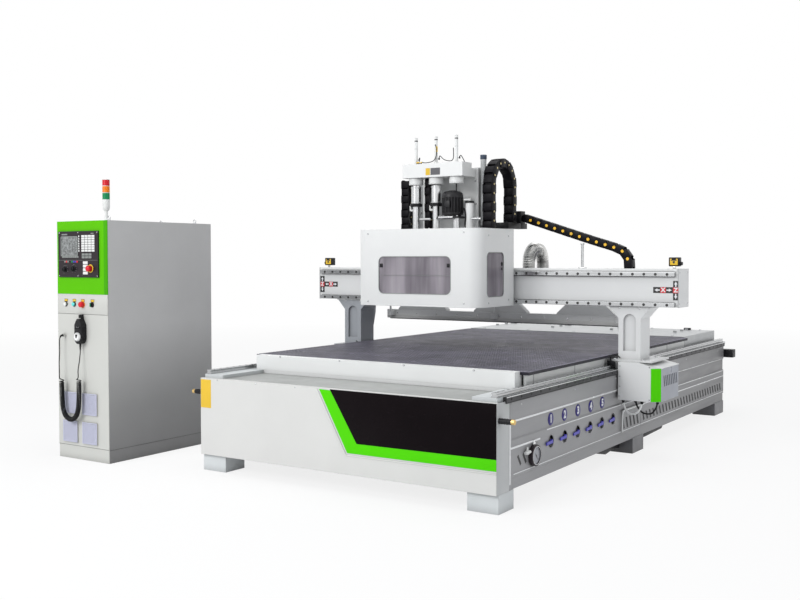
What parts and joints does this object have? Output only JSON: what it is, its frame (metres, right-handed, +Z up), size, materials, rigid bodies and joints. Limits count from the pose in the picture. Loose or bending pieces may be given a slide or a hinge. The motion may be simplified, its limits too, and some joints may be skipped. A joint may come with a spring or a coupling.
{
  "type": "cnc router",
  "caption": "Long-bed gantry router with a vacuum table, a hooded head carrying retractable spindles, cable chains and a separate control cabinet with a corded hand pendant.",
  "frame": {"origin": "centre of the footprint on the floor, of the bed and cabinet together, without the pendant's cord", "axes": "+X to the right as seen by someone facing the bed's front end, +Y along the bed from front to rear, +Z up"},
  "size_m": [3.8174, 4.7985, 2.29],
  "materials": {
    "white_paint": "semi-gloss powder coat",
    "grey_paint": "satin powder coat",
    "cabinet_paint": "fine-textured powder coat",
    "green_paint": "satin powder coat",
    "blue_handle": "moulded grip",
    "mat_blue": "matte, grooved",
    "black_plastic": "matte",
    "black_cast": "black enamel",
    "cord_rubber": "matte",
    "smoked_sheet": "smoked, see-through",
    "red_plastic": "gloss",
    "white_plastic": "gloss",
    "green_plastic": "gloss",
    "steel": "ground",
    "aluminium": "corrugated foil"
  },
  "bodies": {
    "base": {"bed_frame": "grey_paint", "cabinet_shell": "cabinet_paint", "console_panel": "green_paint", "controller": "black_plastic", "drive_rack": "steel", "front_fascia": "white_paint", "lower_panel": "cabinet_paint", "pendant": "black_plastic", "pendant_coil": "cord_rubber", "pendant_lead_lower": "cord_rubber", "pendant_lead_upper": "cord_rubber", "rear_shelf": "grey_paint", "side_panel_left": "grey_paint", "side_panel_right": "grey_paint", "table_front_beam": "white_paint", "table_mat": "mat_blue", "tower_light": "red_plastic", "vacuum_gauge": "steel", "vacuum_table": "grey_paint", "valve_manifold": "steel", "y_rack_left": "steel", "y_rack_right": "steel", "y_rail_left": "steel", "y_rail_right": "steel"},
    "gantry": {"gantry_beam": "grey_paint", "column_right": "white_paint", "column_left": "white_paint", "motor_cover_right": "white_paint", "motor_cover_left": "white_paint", "x_rail_upper": "steel", "x_rail_lower": "steel", "duct_hose": "aluminium", "x_cable_chain": "black_plastic"},
    "head": {"x_carriage": "grey_paint", "hood": "white_paint", "hood_window": "smoked_sheet", "z_cable_chain": "black_plastic"},
    "z_axis": {"z_slide": "white_paint"},
    "spindle_1": {"spindle_1": "steel"},
    "spindle_2": {"spindle_2": "steel"},
    "spindle_3": {"spindle_3": "steel", "spindle_motor": "black_cast"},
    "collet_1": {"collet_1": "steel"},
    "collet_2": {"collet_2": "steel"},
    "collet_3": {"collet_3": "steel"},
    "suction_bar": {"suction_bar": "white_paint"},
    "valve_lever_1": {"valve_lever_1": "blue_handle"},
    "valve_lever_2": {"valve_lever_2": "blue_handle"},
    "valve_lever_3": {"valve_lever_3": "blue_handle"},
    "valve_lever_4": {"valve_lever_4": "blue_handle"},
    "valve_lever_5": {"valve_lever_5": "blue_handle"},
    "valve_lever_6": {"valve_lever_6": "blue_handle"},
    "cabinet_door": {"cabinet_door": "cabinet_paint"},
    "door_handle": {"door_handle": "black_plastic"},
    "estop_button": {"estop_button": "red_plastic"},
    "lamp_button": {"lamp_button": "white_plastic"},
    "start_button": {"start_button": "green_plastic"},
    "stop_button": {"stop_button": "red_plastic"},
    "selector_switch": {"selector_switch": "black_plastic"},
    "pendant_wheel": {"pendant_wheel": "white_plastic"}
  },
  "joints": [
    {"name": "gantry_travel", "type": "slide", "parent": "base", "child": "gantry", "axis": [0, 1, 0], "range_m": [-1.05, 2]},
    {"name": "head_travel", "type": "slide", "parent": "gantry", "child": "head", "axis": [1, 0, 0], "range_m": [-0.77, 1.21], "deforming": ["x_cable_chain"]},
    {"name": "z_travel", "type": "slide", "parent": "head", "child": "z_axis", "axis": [0, 0, 1], "range_m": [-0.26, 0], "deforming": ["z_cable_chain"]},
    {"name": "spindle_1_stroke", "type": "slide", "parent": "z_axis", "child": "spindle_1", "axis": [0, 0, 1], "range_m": [-0.085, 0]},
    {"name": "spindle_2_stroke", "type": "slide", "parent": "z_axis", "child": "spindle_2", "axis": [0, 0, 1], "range_m": [-0.085, 0]},
    {"name": "spindle_3_stroke", "type": "slide", "parent": "z_axis", "child": "spindle_3", "axis": [0, 0, 1], "range_m": [-0.085, 0]},
    {"name": "collet_1_spin", "type": "hinge", "parent": "spindle_1", "child": "collet_1", "pos_m": [0.03565, -0.6327, 1.15], "axis": [0, 0, 1], "continuous": true},
    {"name": "collet_2_spin", "type": "hinge", "parent": "spindle_2", "child": "collet_2", "pos_m": [0.20765, -0.6327, 1.15], "axis": [0, 0, 1], "continuous": true},
    {"name": "collet_3_spin", "type": "hinge", "parent": "spindle_3", "child": "collet_3", "pos_m": [0.37965, -0.6327, 1.15], "axis": [0, 0, 1], "continuous": true},
    {"name": "suction_bar_drop", "type": "slide", "parent": "gantry", "child": "suction_bar", "axis": [0, 0, 1], "range_m": [-0.14, 0], "deforming": ["duct_hose"]},
    {"name": "valve_lever_1_turn", "type": "hinge", "parent": "base", "child": "valve_lever_1", "pos_m": [1.49595, -1.4347, 0.302], "axis": [1, 0, 0], "range_deg": [0, 90]},
    {"name": "valve_lever_2_turn", "type": "hinge", "parent": "base", "child": "valve_lever_2", "pos_m": [1.49595, -1.2347, 0.302], "axis": [1, 0, 0], "range_deg": [0, 90]},
    {"name": "valve_lever_3_turn", "type": "hinge", "parent": "base", "child": "valve_lever_3", "pos_m": [1.49595, -1.0347, 0.302], "axis": [1, 0, 0], "range_deg": [0, 90]},
    {"name": "valve_lever_4_turn", "type": "hinge", "parent": "base", "child": "valve_lever_4", "pos_m": [1.49595, -0.8347, 0.302], "axis": [1, 0, 0], "range_deg": [0, 90]},
    {"name": "valve_lever_5_turn", "type": "hinge", "parent": "base", "child": "valve_lever_5", "pos_m": [1.49595, -0.6347, 0.302], "axis": [1, 0, 0], "range_deg": [0, 90]},
    {"name": "valve_lever_6_turn", "type": "hinge", "parent": "base", "child": "valve_lever_6", "pos_m": [1.49595, -0.4347, 0.302], "axis": [1, 0, 0], "range_deg": [0, 90]},
    {"name": "cabinet_door_hinge", "type": "hinge", "parent": "base", "child": "cabinet_door", "pos_m": [-1.88885, -1.3477, 0.8], "axis": [0, 0, -1], "range_deg": [0, 110]},
    {"name": "door_handle_turn", "type": "hinge", "parent": "cabinet_door", "child": "door_handle", "pos_m": [-1.88465, -2.2627, 1.262], "axis": [1, 0, 0], "range_deg": [0, 90]},
    {"name": "estop_button_press", "type": "slide", "parent": "base", "child": "estop_button", "axis": [0, 1, 0], "range_m": [0, 0.005], "stiffness_N_per_m": 300},
    {"name": "lamp_button_press", "type": "slide", "parent": "base", "child": "lamp_button", "axis": [0, 1, 0], "range_m": [0, 0.005], "stiffness_N_per_m": 300},
    {"name": "start_button_press", "type": "slide", "parent": "base", "child": "start_button", "axis": [0, 1, 0], "range_m": [0, 0.005], "stiffness_N_per_m": 300},
    {"name": "stop_button_press", "type": "slide", "parent": "base", "child": "stop_button", "axis": [0, 1, 0], "range_m": [0, 0.005], "stiffness_N_per_m": 300},
    {"name": "selector_switch_turn", "type": "hinge", "parent": "base", "child": "selector_switch", "pos_m": [-1.51735, -2.338, 1.083], "axis": [0, 1, 0], "range_deg": [-45, 45]},
    {"name": "pendant_wheel_turn", "type": "hinge", "parent": "base", "child": "pendant_wheel", "pos_m": [-1.61835, -2.3833, 0.862], "axis": [0, 1, 0], "continuous": true}
  ]
}
